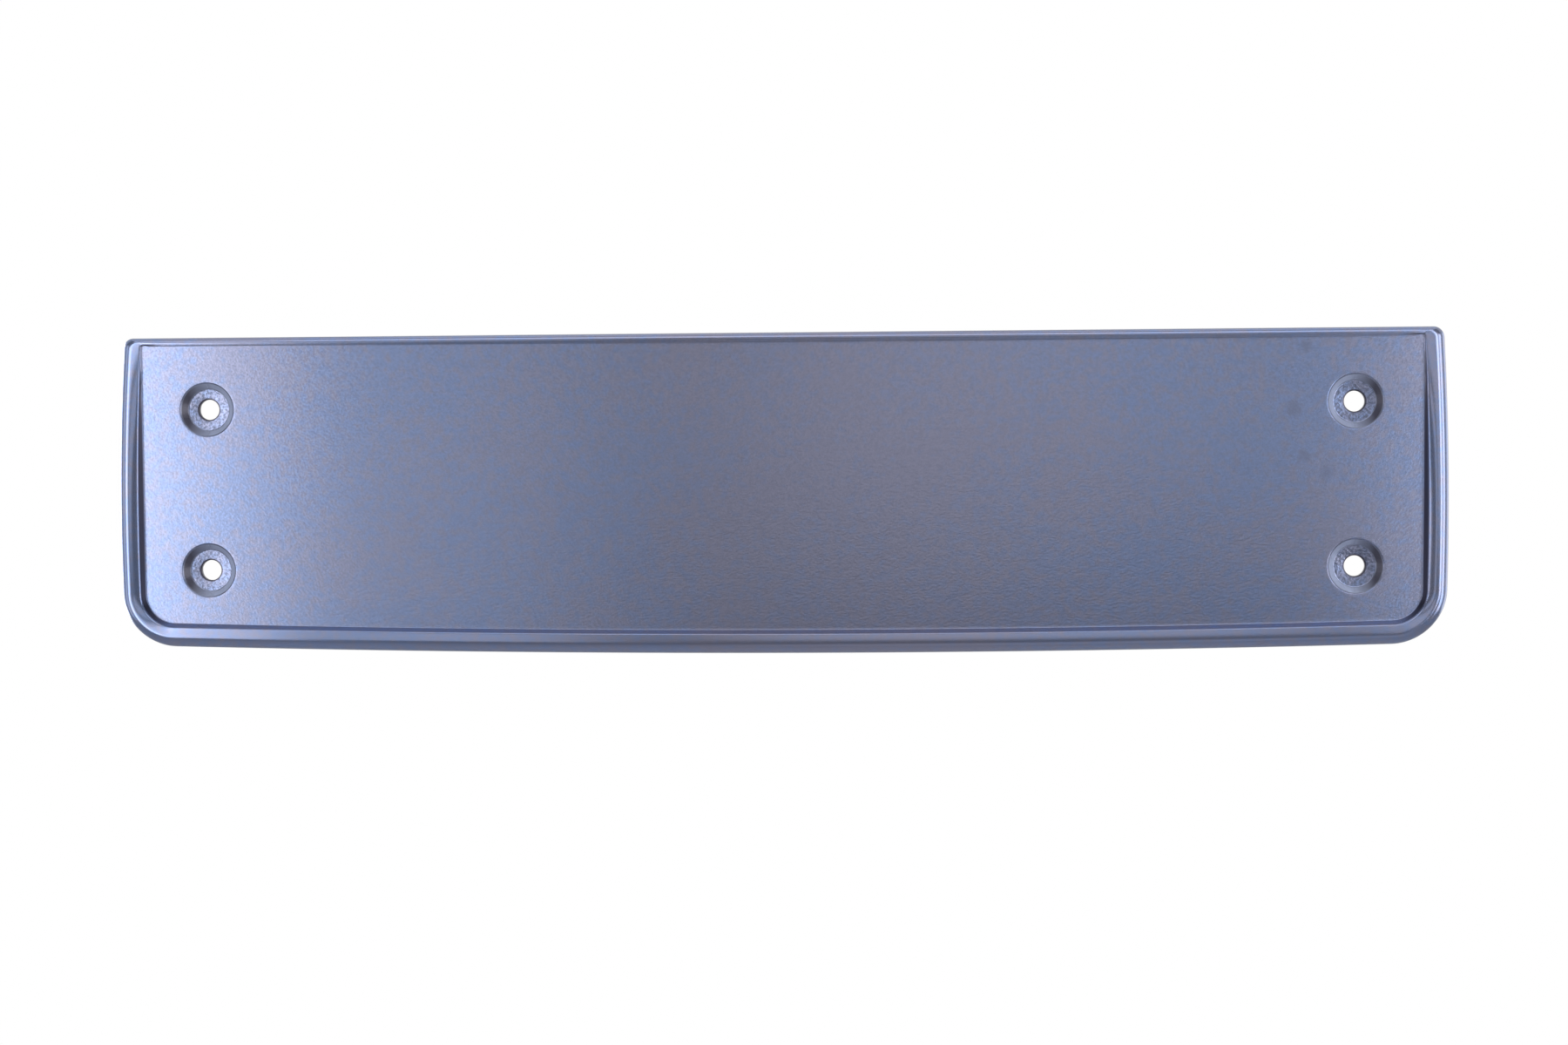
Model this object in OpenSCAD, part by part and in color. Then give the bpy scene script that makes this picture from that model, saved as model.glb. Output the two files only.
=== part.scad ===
// Holder for a long car number plate: one moulded piece, open at the back.
// The plate lies in the shallow recess, and four screws go through the wells.
// Axes: +X to the right seen from the front, +Z up, the front faces -Y.
// Origin: centre of the four screw holes, in the plane of the boss ends.

/* [Outline] */
// width over the bead at mid-height
body_w = 542.5; // [530:0.5:560]
// top edge above the centre of the screw holes
top_h = 63; // [60:0.5:68]
// bottom corners below the centre of the screw holes
bottom_h = 64.2; // [62:0.2:68]
// how far the bottom edge bows down in the middle
bottom_bow = 3.8; // [0:0.2:6]
// how far each side bows out
side_bow = 1; // [0:0.1:2]
// radius of the two top corners
top_corner_r = 4.5; // [3:0.5:8]
// radius of the two bottom corners
bottom_corner_r = 21.5; // [14:0.5:30]

/* [Bead] */
// width of the bead at the sides and the bottom
bead_w = 8.6; // [7.6:0.2:10]
// radius of the bead's outer edge
bead_outer_r = 4.2; // [2.5:0.1:5]
// radius of the bead's inner edge
bead_inner_r = 1.2; // [0.5:0.1:1.6]
// how far the bead's crown falls towards the recess, as a part of its height
crown_fall = 0.1; // [0:0.01:0.12]
// width of the lip along the top
lip_w = 5; // [4.6:0.1:6]
// radius of the lip's outer edge
lip_outer_r = 3.4; // [2:0.1:3.6]
// how far the lip stands in front of the face
lip_rise = 0.7; // [0.5:0.1:1.5]
// how far the bead stands in front of the face at its highest
bead_rise = 5.2; // [3:0.1:7]
// where the bead is highest, as a part of the way down
bead_peak = 0.64; // [0.5:0.01:0.8]
// slope of the recess walls, sideways for each mm of depth
wall_slope = 0.24; // [0.05:0.01:0.35]

/* [Shell] */
// front of the face to the plane of the boss ends
stand = 12; // [10:0.5:16]
// thickness of the face
face_t = 2.5; // [2:0.1:3]
// thickness of the bead's walls and of the skirt
wall_t = 2.4; // [1.8:0.1:2.6]
// how far the skirt flares out at its rear edge
skirt_flare = 0.3; // [0:0.1:0.6]
// radius of the bumper surface that the rear edge follows
bumper_r = 6000; // [4500:100:9000]
// rear edge in front of the boss ends, at the holes
rear_gap = 0.5; // [0.3:0.1:1.5]

/* [Screw holes] */
// spacing of the holes along X
hole_dx = 469; // [440:0.5:480]
// spacing of the holes along Z
hole_dz = 66.5; // [50:0.5:72]
// diameter of the through holes
hole_d = 8.4; // [6:0.1:9]
// diameter of the well at the face
well_d = 22.5; // [20:0.5:25]
// diameter of the well at its floor
well_floor_d = 17; // [15:0.5:19]
// depth of the well
well_depth = 3.2; // [2.5:0.1:4]
// thickness of the well's floor
well_floor_t = 2.4; // [2:0.1:3]
// wall round the well, behind the face
well_wall = 2.2; // [1.8:0.1:3]
// diameter of the boss behind the well
boss_d = 14.5; // [12:0.5:16.5]

/* [Ribs] */
// number of upright ribs
rib_count = 5; // [1:2:7]
// distance between the upright ribs
rib_pitch = 78; // [50:1:78]
// thickness of the ribs
rib_t = 1.8; // [1.2:0.1:2.4]
// how far the ribs stay in front of the rear edge
rib_short = 1.2; // [0.8:0.1:2]

/* [Hidden] */
// stations along the top, a side, the bottom, a top corner and a bottom corner
n_top = 24;
n_side = 14;
n_bottom = 30;
n_top_corner = 8;
n_bottom_corner = 12;
// steps round the bead's outer edge, over its crown and round its inner edge
n_outer = 5;
n_crown = 3;
n_inner = 3;
// the bow fades out over this height above the bottom edge
bow_fade = 45;
// the channel behind the bead closes between these heights
close_from = 38;
close_to = 54;
// how far the bead's inner leg runs past the back of the face, and rib ends into the skirt
leg_past = 0.4;
// the face's edge and the wells reach this far into what carries them
bite = 1.2;
// corner radius where the bead's inner edge meets the lip
inner_corner_r = 1.2;
// least part of the recess depth taken by the inner edge radius
edge_share = 0.8;

eps = 0.01;
half_w = body_w / 2 - side_bow;
mid_z = (top_h - bottom_h) / 2;
half_h = (top_h + bottom_h) / 2;
face_y = -stand;
face_back_y = face_y + face_t;
leg_y = face_back_y + leg_past;
rear_mid_y = -rear_gap - pow(hole_dx / 2, 2) / (2 * bumper_r);
well_floor_y = face_y + well_depth;
well_back_y = well_floor_y + well_floor_t;
rib_root_y = face_back_y - bite;
big_fn = 720;
fine_fn = 96;

// basic functions
function lerp(a, b, t) = a + (b - a) * t;
function clamp01(t) = min(1, max(0, t));
function smooth(t) = let (c = clamp01(t)) c * c * (3 - 2 * c);

// the edges bow out at the sides and down along the bottom
function bowed(p) =
    let (
        side = 1 + side_bow / half_w * (1 - pow((p[1] - mid_z) / half_h, 2)),
        sag = bottom_bow * (1 - pow(p[0] / half_w, 2)),
        fade = smooth(-p[1] / bow_fade)
    )
    [p[0] * side, p[1] - sag * fade];

// corner arc from angle a0 to a1, without its last point
function arc(cx, cz, r, a0, a1, n) = [
    for (i = [0 : n - 1])
        let (a = lerp(a0, a1, i / n))
            [cx + r * cos(a), cz + r * sin(a)]
];
// straight run without its last point
function run(p, q, n) = [for (i = [0 : n - 1]) lerp(p, q, i / n)];

// closed outline, clockwise seen from the front, from the left end of the top edge
function outline(w, t, b, rt, rb) = concat(
    run([-w + rt, t], [w - rt, t], n_top),
    arc(w - rt, t - rt, rt, 90, 0, n_top_corner),
    run([w, t - rt], [w, b + rb], n_side),
    arc(w - rb, b + rb, rb, 0, -90, n_bottom_corner),
    run([w - rb, b], [-w + rb, b], n_bottom),
    arc(-w + rb, b + rb, rb, -90, -180, n_bottom_corner),
    run([-w, b + rb], [-w, t - rt], n_side),
    arc(-w + rt, t - rt, rt, 180, 90, n_top_corner)
);

// outer edge of the bead and its inner edge, station by station
outer_edge = outline(half_w, top_h, -bottom_h, top_corner_r, bottom_corner_r);
inner_edge = outline(
    half_w - bead_w, top_h - lip_w, -bottom_h + bead_w,
    inner_corner_r, bottom_corner_r - bead_w
);
// how much of the top lip each station has: 0 on the bead, 1 on the lip
lip_share = concat(
    [for (i = [0 : n_top - 1]) 1],
    [for (i = [0 : n_top_corner - 1]) 1 - i / n_top_corner],
    [for (i = [0 : 2 * n_side + 2 * n_bottom_corner + n_bottom - 1]) 0],
    [for (i = [0 : n_top_corner - 1]) i / n_top_corner]
);
stations = len(outer_edge);

// how far the rim stands in front of the face at height z
function rise(z) =
    let (
        down = (top_h - z) / (2 * half_h),
        off = (down - bead_peak) / bead_peak
    )
    lip_rise + (bead_rise - lip_rise) * (1 - off * off);

// rear edge of the skirt, which follows the bumper
function rear_y(x) = rear_mid_y + x * x / (2 * bumper_r);

// how far in from the bead's inner edge its leg ends, behind the face
function leg_run(z) = (rise(z) + leg_y - face_y) * wall_slope;

// point of a station at distance u in from the outer edge
function place(k, u) =
    let (w = lerp(bead_w, lip_w, lip_share[k]))
    bowed(lerp(outer_edge[k], inner_edge[k], u / w));

// section of the rim at station k, from the rear outer edge over the bead to the rear inner edge
function section(k) =
    let (
        s = lip_share[k],
        w = lerp(bead_w, lip_w, s),
        ro = lerp(bead_outer_r, lip_outer_r, s),
        z_in = place(k, w)[1],
        ri = min(bead_inner_r, edge_share * rise(z_in)),
        fall = crown_fall * rise(z_in),
        tilt = atan(2 * fall / (w - ri - ro)),
        crown_end = w - ri * (1 - sin(tilt)),
        foot = w + leg_run(z_in),
        shut = max(s, smooth((place(k, 0)[1] - close_from) / (close_to - close_from))),
        roof_in = lerp(foot - 2 * wall_t, wall_t + leg_past, shut),
        leg_in = lerp(foot - wall_t, wall_t + leg_past, shut)
    )
    concat(
        [[-skirt_flare, "rear"]],
        [for (i = [0 : n_outer])
            let (a = 90 * i / n_outer)
                [ro * (1 - cos(a)), ro * (1 - sin(a))]],
        [for (i = [1 : n_crown - 1])
            let (t = i / n_crown)
                [lerp(ro, crown_end, t), fall * t * t]],
        [for (i = [0 : n_inner])
            let (a = lerp(tilt, 90 - atan(wall_slope), i / n_inner))
                [w - ri * (1 - sin(a)), fall + ri * (cos(tilt) - cos(a))]],
        [[foot, "leg"]],
        [[leg_in, "leg"]],
        [[roof_in, "roof", shut, 1]],
        [[wall_t, "roof", shut, 2]],
        [[wall_t - skirt_flare, "rear"]]
    );

// depth of one section point
function depth_y(q, p) =
    q[1] == "rear" ? rear_y(p[0])
    : q[1] == "leg" ? leg_y
    : q[1] == "roof" ? lerp(face_y - rise(p[1]) + wall_t, leg_y + q[3], q[2])
    : face_y - rise(p[1]) + q[1];

rim_rows = [
    for (k = [0 : stations - 1])
        [for (q = section(k))
            let (p = place(k, q[0]))
                [p[0], depth_y(q, p), p[1]]]
];
row_n = len(rim_rows[0]);
rim_points = [for (row = rim_rows) each row];
rim_faces = [
    for (k = [0 : stations - 1], j = [0 : row_n - 1])
        let (
            k2 = (k + 1) % stations,
            j2 = (j + 1) % row_n,
            a = k * row_n + j,
            b = k * row_n + j2,
            c = k2 * row_n + j2,
            d = k2 * row_n + j
        )
        each [[a, c, b], [a, d, c]]
];

// everything between two depths, cut to the shape drawn as [x, z]
module between(y0, y1) {
    translate([0, y1, 0])
        rotate([90, 0, 0])
            linear_extrude(height = y1 - y0)
                children();
}

// bead, top lip and skirt in one ring
module rim() {
    polyhedron(points = rim_points, faces = rim_faces, convexity = 6);
}

// face, its edge sunk in the rim
module face_plate() {
    between(face_y, face_back_y)
        polygon([
            for (k = [0 : stations - 1])
                let (
                    s = lip_share[k],
                    z_in = place(k, lerp(bead_w, lip_w, s))[1],
                    foot = bead_w + rise(z_in) * wall_slope
                )
                place(k, lerp(foot - bite, bite, s))
        ]);
}

module at_holes() {
    for (sx = [-1, 1], sz = [-1, 1])
        translate([sx * hole_dx / 2, 0, sz * hole_dz / 2])
            rotate([90, 0, 0])
                children();
}

// well cup and boss behind one hole, along its own axis towards the front
module boss() {
    cup_d = well_floor_d + 2 * well_wall;
    translate([0, 0, -well_back_y])
        cylinder(d = cup_d, h = well_back_y - face_y - bite / 2, $fn = fine_fn);
    cylinder(d = boss_d, h = -well_back_y + bite, $fn = fine_fn);
}

// well and through hole
module well_cut() {
    cut_h = well_depth + eps;
    cut_d = well_d + (well_d - well_floor_d) * eps / well_depth;
    translate([0, 0, -well_floor_y])
        cylinder(d1 = well_floor_d, d2 = cut_d, h = cut_h, $fn = fine_fn);
    translate([0, 0, -bite])
        cylinder(d = hole_d, h = stand + 2 * bite, $fn = fine_fn);
}

// rib along X at height z, taller where it crosses the channel behind the bead
module cross_rib(z) {
    edge = bowed([half_w, z])[0];
    end = edge - wall_t + leg_past;
    step = edge - bead_w - (leg_run(z) - wall_t) / 2;
    web_y = face_y - rise(z) + wall_t / 2;
    translate([0, 0, z - rib_t / 2])
        linear_extrude(height = rib_t)
            polygon([
                [-end, 0], [-end, web_y], [-step, web_y], [-step, rib_root_y],
                [step, rib_root_y], [step, web_y], [end, web_y], [end, 0]
            ]);
}

// upright rib at x, from the top of the skirt down to the bottom of it
module upright_rib(x) {
    edge = bowed([x, -bottom_h])[1];
    inner = edge + bead_w;
    end = edge + wall_t - leg_past;
    step = inner + (leg_run(inner) - wall_t) / 2;
    web_y = face_y - rise(edge + bead_w / 2) + wall_t / 2;
    top = top_h - wall_t + leg_past;
    translate([x - rib_t / 2, 0, 0])
        rotate([90, 0, 90])
            linear_extrude(height = rib_t)
                polygon([
                    [0, top], [rib_root_y, top], [rib_root_y, step],
                    [web_y, step], [web_y, end], [0, end]
                ]);
}

// stiffening ribs, their rear edges following the bumper
module ribs() {
    cut_r = bumper_r + rib_short;
    deep = stand + bead_rise;
    reach = 2 * top_h;
    intersection() {
        union() {
            for (sz = [-1, 1])
                cross_rib(sz * hole_dz / 2);
            for (i = [0 : rib_count - 1])
                upright_rib((i - (rib_count - 1) / 2) * rib_pitch);
        }
        translate([0, rear_mid_y + bumper_r, -reach])
            difference() {
                cylinder(r = cut_r + deep, h = 2 * reach, $fn = big_fn);
                translate([0, 0, -bite])
                    cylinder(r = cut_r, h = 2 * reach + 2 * bite, $fn = big_fn);
            }
    }
}

module plate_holder() {
    color("#4f5564")
        difference() {
            union() {
                rim();
                face_plate();
                at_holes() boss();
                ribs();
            }
            at_holes() well_cut();
        }
}

plate_holder();
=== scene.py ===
"""Holder for a long car number plate: one satin plastic moulding in a plain studio.

The CAD model is the frame. The moulding that is seen is built over it from the same rules:
a rim swept round the outline, a flat recessed face with four screw wells, and ribs at the back.
Sizes are in metres, +X to the right seen from the front, +Z up, and the front faces -Y.
"""
import math

import bmesh
import bpy
from mathutils import Matrix, Vector


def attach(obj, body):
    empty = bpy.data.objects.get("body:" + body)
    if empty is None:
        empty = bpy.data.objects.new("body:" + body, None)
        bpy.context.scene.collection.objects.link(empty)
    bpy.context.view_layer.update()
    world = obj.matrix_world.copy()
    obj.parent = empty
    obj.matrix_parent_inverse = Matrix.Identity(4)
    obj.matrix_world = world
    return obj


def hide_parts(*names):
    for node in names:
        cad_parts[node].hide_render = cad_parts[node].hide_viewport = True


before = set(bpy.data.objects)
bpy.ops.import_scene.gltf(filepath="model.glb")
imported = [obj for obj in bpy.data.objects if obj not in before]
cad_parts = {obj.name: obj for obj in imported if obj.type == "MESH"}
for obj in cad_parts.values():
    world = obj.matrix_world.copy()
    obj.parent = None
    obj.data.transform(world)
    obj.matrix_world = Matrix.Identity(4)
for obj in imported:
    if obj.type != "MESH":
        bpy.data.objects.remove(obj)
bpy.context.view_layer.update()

MM = 0.001
# points as close as this are welded
WELD = 1e-6

# Outline
HALF_WIDTH = 270.25 * MM
TOP = 63 * MM
BOTTOM = 64.2 * MM
TOP_CORNER = 4.5 * MM
BOTTOM_CORNER = 21.5 * MM
RECESS_TOP_CORNER = 1.2 * MM
# how far the sides and the bottom bow out. The bottom bow fades in from the holes' middle downwards
BOW = {
    "Half Width": HALF_WIDTH,
    "Mid Height": (TOP - BOTTOM) / 2,
    "Half Height": (TOP + BOTTOM) / 2,
    "Side Bow": 1 * MM,
    "Bottom Bow": 3.8 * MM,
    "Bow Fade": 45 * MM,
}

# Rim: the bead at the sides and the bottom, and the lip along the top
BEAD_WIDTH = 8.6 * MM
LIP_WIDTH = 2.6 * MM
# how far the rim stands in front of the face. Peak is the share of the way down where it is highest
RISE = {
    "Top": TOP,
    "Rim Height": TOP + BOTTOM,
    "Peak": 0.64,
    "Lip Rise": 0.25 * MM,
    "Bead Rise": 5.19 * MM,
}
# run of the recess wall for each unit of its rise
WALL_SLOPE = 0.24
# thickness of the bead and the skirt, flare of the skirt, and rounding of the rear edge
WALL = 2.4 * MM
FLARE = 0.3 * MM
REAR_EDGE = 0.4 * MM
# the channel's floor starts at this share of the way to the rear edge
CHANNEL_FOOT = 0.04
# where the channel behind the bead is shut, its points lie this far apart
SHUT_STEP = 0.2 * MM
FACE_Y = -12 * MM
FACE_THICKNESS = 2.5 * MM
FACE_BACK_Y = FACE_Y + FACE_THICKNESS
BUMPER_RADIUS = 6.0
HOLE_DX = 469 * MM
HOLE_DZ = 66.5 * MM
# the rear edge stays this far in front of the boss ends at the holes
REAR_GAP = 0.5 * MM
REAR = {
    "Rear Middle": -REAR_GAP - (HOLE_DX / 2) ** 2 / (2 * BUMPER_RADIUS),
    "Bumper Radius": BUMPER_RADIUS,
}
# narrow strip of the face that is swept with the rim
BAND = 0.6 * MM
# the bead's crown falls towards the recess: how far, in parts of the wall's run, by which power
# of the distance from its top, and how steep it is where the inner edge starts
CROWN_FALL = 1.25
CROWN_POWER = 1.6
CROWN_SLOPE = math.radians(33)
# where the crown is highest, in parts of the outer edge radius
CROWN_TOP = 0.87

# Screw wells
WELL_RADIUS = 11.25 * MM
WELL_FLOOR_RADIUS = 8.5 * MM
WELL_DEPTH = 3.2 * MM
WELL_FLOOR_THICKNESS = 2.4 * MM
CUP_RADIUS = WELL_FLOOR_RADIUS + 2.2 * MM
BOSS_RADIUS = 7.25 * MM
HOLE_RADIUS = 4.2 * MM
# the boss is open behind the well's floor, so that light comes through the whole hole
BOSS_BORE_RADIUS = 6 * MM
# narrow strip of the face that is spun with each well
WELL_BAND = 1.2 * MM
WELL_SEGMENTS = 96

# Stations round the outline
TOP_STEPS = 110
SIDE_STEPS = 44
BOTTOM_STEPS = 120
TOP_CORNER_STEPS = 14
BOTTOM_CORNER_STEPS = 26

# Steps along the curves of the rim's section
CREASE_STEPS = 5
INNER_EDGE_STEPS = 6
CROWN_STEPS = 6
OUTER_EDGE_STEPS = 10


def linear(hex_colour):
    """A colour written as sRGB hex, as the linear RGBA that Blender takes."""
    channels = [int(hex_colour[i:i + 2], 16) / 255 for i in (1, 3, 5)]
    return [c / 12.92 if c <= 0.04045 else ((c + 0.055) / 1.055) ** 2.4 for c in channels] + [1]


def add_node(tree, kind, links=None, **settings):
    """Adds a node with its settings. links maps its inputs to a node, a socket or a plain value."""
    node = tree.nodes.new(kind)
    for name, value in settings.items():
        setattr(node, name, value)
    for name, source in (links or {}).items():
        if isinstance(source, bpy.types.Node):
            source = source.outputs[0]
        if isinstance(source, bpy.types.NodeSocket):
            tree.links.new(source, node.inputs[name])
        else:
            node.inputs[name].default_value = source
    return node


def new_tree(name, sizes, others=(), result="Geometry", result_kind="NodeSocketGeometry"):
    """A geometry tree with a float input for each size. others are further (name, socket kind) inputs."""
    tree = bpy.data.node_groups.new(name, "GeometryNodeTree")
    for label, kind in others:
        tree.interface.new_socket(name=label, in_out="INPUT", socket_type=kind)
    for label, value in sizes.items():
        socket = tree.interface.new_socket(name=label, in_out="INPUT", socket_type="NodeSocketFloat")
        socket.default_value = value
    tree.interface.new_socket(name=result, in_out="OUTPUT", socket_type=result_kind)
    return tree, tree.nodes.new("NodeGroupInput").outputs


def grown(guide, tree, values):
    """The plain mesh that the tree makes of the guide, with the values set as its inputs."""
    modifier = guide.modifiers.new(tree.name, "NODES")
    modifier.node_group = tree
    for item in tree.interface.items_tree:
        if item.in_out == "INPUT" and item.name in values:
            modifier[item.identifier] = values[item.name]
    bpy.context.scene.collection.objects.link(guide)
    graph = bpy.context.evaluated_depsgraph_get()
    mesh = bpy.data.meshes.new_from_object(
        guide.evaluated_get(graph), preserve_all_data_layers=True, depsgraph=graph)
    bpy.data.objects.remove(guide)
    return mesh


# Rules that the rim and the ribs share
def rise_rule():
    """How far the rim stands in front of the face at height Z."""
    tree, given = new_tree("rim rise", RISE, [("Z", "NodeSocketFloat")], "Rise", "NodeSocketFloat")
    below = add_node(tree, "ShaderNodeMath", {0: given["Top"], 1: given["Z"]}, operation="SUBTRACT")
    down = add_node(tree, "ShaderNodeMath", {0: below, 1: given["Rim Height"]}, operation="DIVIDE")
    past = add_node(tree, "ShaderNodeMath", {0: down, 1: given["Peak"]}, operation="SUBTRACT")
    off = add_node(tree, "ShaderNodeMath", {0: past, 1: given["Peak"]}, operation="DIVIDE")
    square = add_node(tree, "ShaderNodeMath", {0: off, 1: off}, operation="MULTIPLY")
    rise = add_node(tree, "ShaderNodeMapRange",
                    {"Value": square, "To Min": given["Bead Rise"], "To Max": given["Lip Rise"]},
                    clamp=False)
    add_node(tree, "NodeGroupOutput", {"Rise": rise})
    return tree


def bow_rule():
    """Where a point of the straight outline lies once the sides and the bottom bow out."""
    tree, given = new_tree("edge bow", BOW, [("Point", "NodeSocketVector")], "Point", "NodeSocketVector")
    point = add_node(tree, "ShaderNodeSeparateXYZ", {0: given["Point"]}).outputs
    up = add_node(tree, "ShaderNodeMath", {0: point["Z"], 1: given["Mid Height"]}, operation="SUBTRACT")
    up = add_node(tree, "ShaderNodeMath", {0: up, 1: given["Half Height"]}, operation="DIVIDE")
    square = add_node(tree, "ShaderNodeMath", {0: up, 1: up}, operation="MULTIPLY")
    share = add_node(tree, "ShaderNodeMath", {0: given["Side Bow"], 1: given["Half Width"]},
                     operation="DIVIDE")
    side = add_node(tree, "ShaderNodeMapRange", {"Value": square, "To Min": share, "To Max": 0},
                    clamp=False)
    x = add_node(tree, "ShaderNodeMath", {0: point["X"], 1: side, 2: point["X"]}, operation="MULTIPLY_ADD")
    across = add_node(tree, "ShaderNodeMath", {0: point["X"], 1: given["Half Width"]}, operation="DIVIDE")
    square = add_node(tree, "ShaderNodeMath", {0: across, 1: across}, operation="MULTIPLY")
    sag = add_node(tree, "ShaderNodeMapRange",
                   {"Value": square, "To Min": given["Bottom Bow"], "To Max": 0}, clamp=False)
    below = add_node(tree, "ShaderNodeMath", {0: point["Z"], 1: -1}, operation="MULTIPLY")
    fade = add_node(tree, "ShaderNodeMapRange", {"Value": below, "From Max": given["Bow Fade"]},
                    interpolation_type="SMOOTHSTEP")
    drop = add_node(tree, "ShaderNodeMath", {0: sag, 1: fade}, operation="MULTIPLY")
    z = add_node(tree, "ShaderNodeMath", {0: point["Z"], 1: drop}, operation="SUBTRACT")
    bowed = add_node(tree, "ShaderNodeCombineXYZ", {"X": x, "Y": point["Y"], "Z": z})
    add_node(tree, "NodeGroupOutput", {"Point": bowed})
    return tree


def rear_rule():
    """Depth of the surface that the rear edge follows, at X."""
    tree, given = new_tree("rear curve", REAR, [("X", "NodeSocketFloat")], "Depth", "NodeSocketFloat")
    square = add_node(tree, "ShaderNodeMath", {0: given["X"], 1: given["X"]}, operation="MULTIPLY")
    half = add_node(tree, "ShaderNodeMath", {0: square, 1: 0.5}, operation="MULTIPLY")
    curve = add_node(tree, "ShaderNodeMath", {0: half, 1: given["Bumper Radius"]}, operation="DIVIDE")
    depth = add_node(tree, "ShaderNodeMath", {0: curve, 1: given["Rear Middle"]})
    add_node(tree, "NodeGroupOutput", {"Depth": depth})
    return tree


RISE_RULE = rise_rule()
BOW_RULE = bow_rule()
REAR_RULE = rear_rule()


# Rim
def arc(cx, cz, radius, start, end, steps):
    """Corner arc between two angles in degrees, without its last point."""
    turns = [math.radians(start + (end - start) * i / steps) for i in range(steps)]
    return [(cx + radius * math.cos(a), cz + radius * math.sin(a)) for a in turns]


def run(start, end, steps):
    """Straight run without its last point."""
    return [tuple(a + (b - a) * i / steps for a, b in zip(start, end)) for i in range(steps)]


def outline(side, top, bottom, top_r, bottom_r):
    """Closed outline, clockwise seen from the front, from the left end of the top edge."""
    return (
        run((-side + top_r, top), (side - top_r, top), TOP_STEPS)
        + arc(side - top_r, top - top_r, top_r, 90, 0, TOP_CORNER_STEPS)
        + run((side, top - top_r), (side, bottom + bottom_r), SIDE_STEPS)
        + arc(side - bottom_r, bottom + bottom_r, bottom_r, 0, -90, BOTTOM_CORNER_STEPS)
        + run((side - bottom_r, bottom), (-side + bottom_r, bottom), BOTTOM_STEPS)
        + arc(-side + bottom_r, bottom + bottom_r, bottom_r, -90, -180, BOTTOM_CORNER_STEPS)
        + run((-side, bottom + bottom_r), (-side, top - top_r), SIDE_STEPS)
        + arc(-side + top_r, top - top_r, top_r, 180, 90, TOP_CORNER_STEPS)
    )


def rim_stations():
    """Outer edge, inner edge and the shares of the top lip and of the sides, station by station."""
    outer = outline(HALF_WIDTH, TOP, -BOTTOM, TOP_CORNER, BOTTOM_CORNER)
    inner = outline(HALF_WIDTH - BEAD_WIDTH, TOP - LIP_WIDTH, -BOTTOM + BEAD_WIDTH,
                    RECESS_TOP_CORNER, BOTTOM_CORNER - BEAD_WIDTH)
    fading = [i / TOP_CORNER_STEPS for i in range(TOP_CORNER_STEPS)]
    plain = len(outer) - TOP_STEPS - 2 * TOP_CORNER_STEPS
    lip = [1.0] * TOP_STEPS + [1 - i for i in fading] + [0.0] * plain + fading
    turning = [i / BOTTOM_CORNER_STEPS for i in range(BOTTOM_CORNER_STEPS)]
    side = ([0.0] * TOP_STEPS + fading + [1.0] * SIDE_STEPS + [1 - i for i in turning]
            + [0.0] * BOTTOM_STEPS + turning + [1.0] * SIDE_STEPS + [1 - i for i in fading])
    return outer, inner, list(zip(lip, side))


# What a point of the rim's section is made of: its distance in from the outer edge in widths,
# radii and fixed lengths, the level it is measured from, and its place once the channel is shut
PARTS = (
    "width", "outer", "inner", "crease", "run", "across", "front", "face", "rear",
    "outer_drop", "inner_drop", "crease_drop", "drop", "fall",
    "shut_across", "shut_drop", "shuts", "polish",
)


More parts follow.
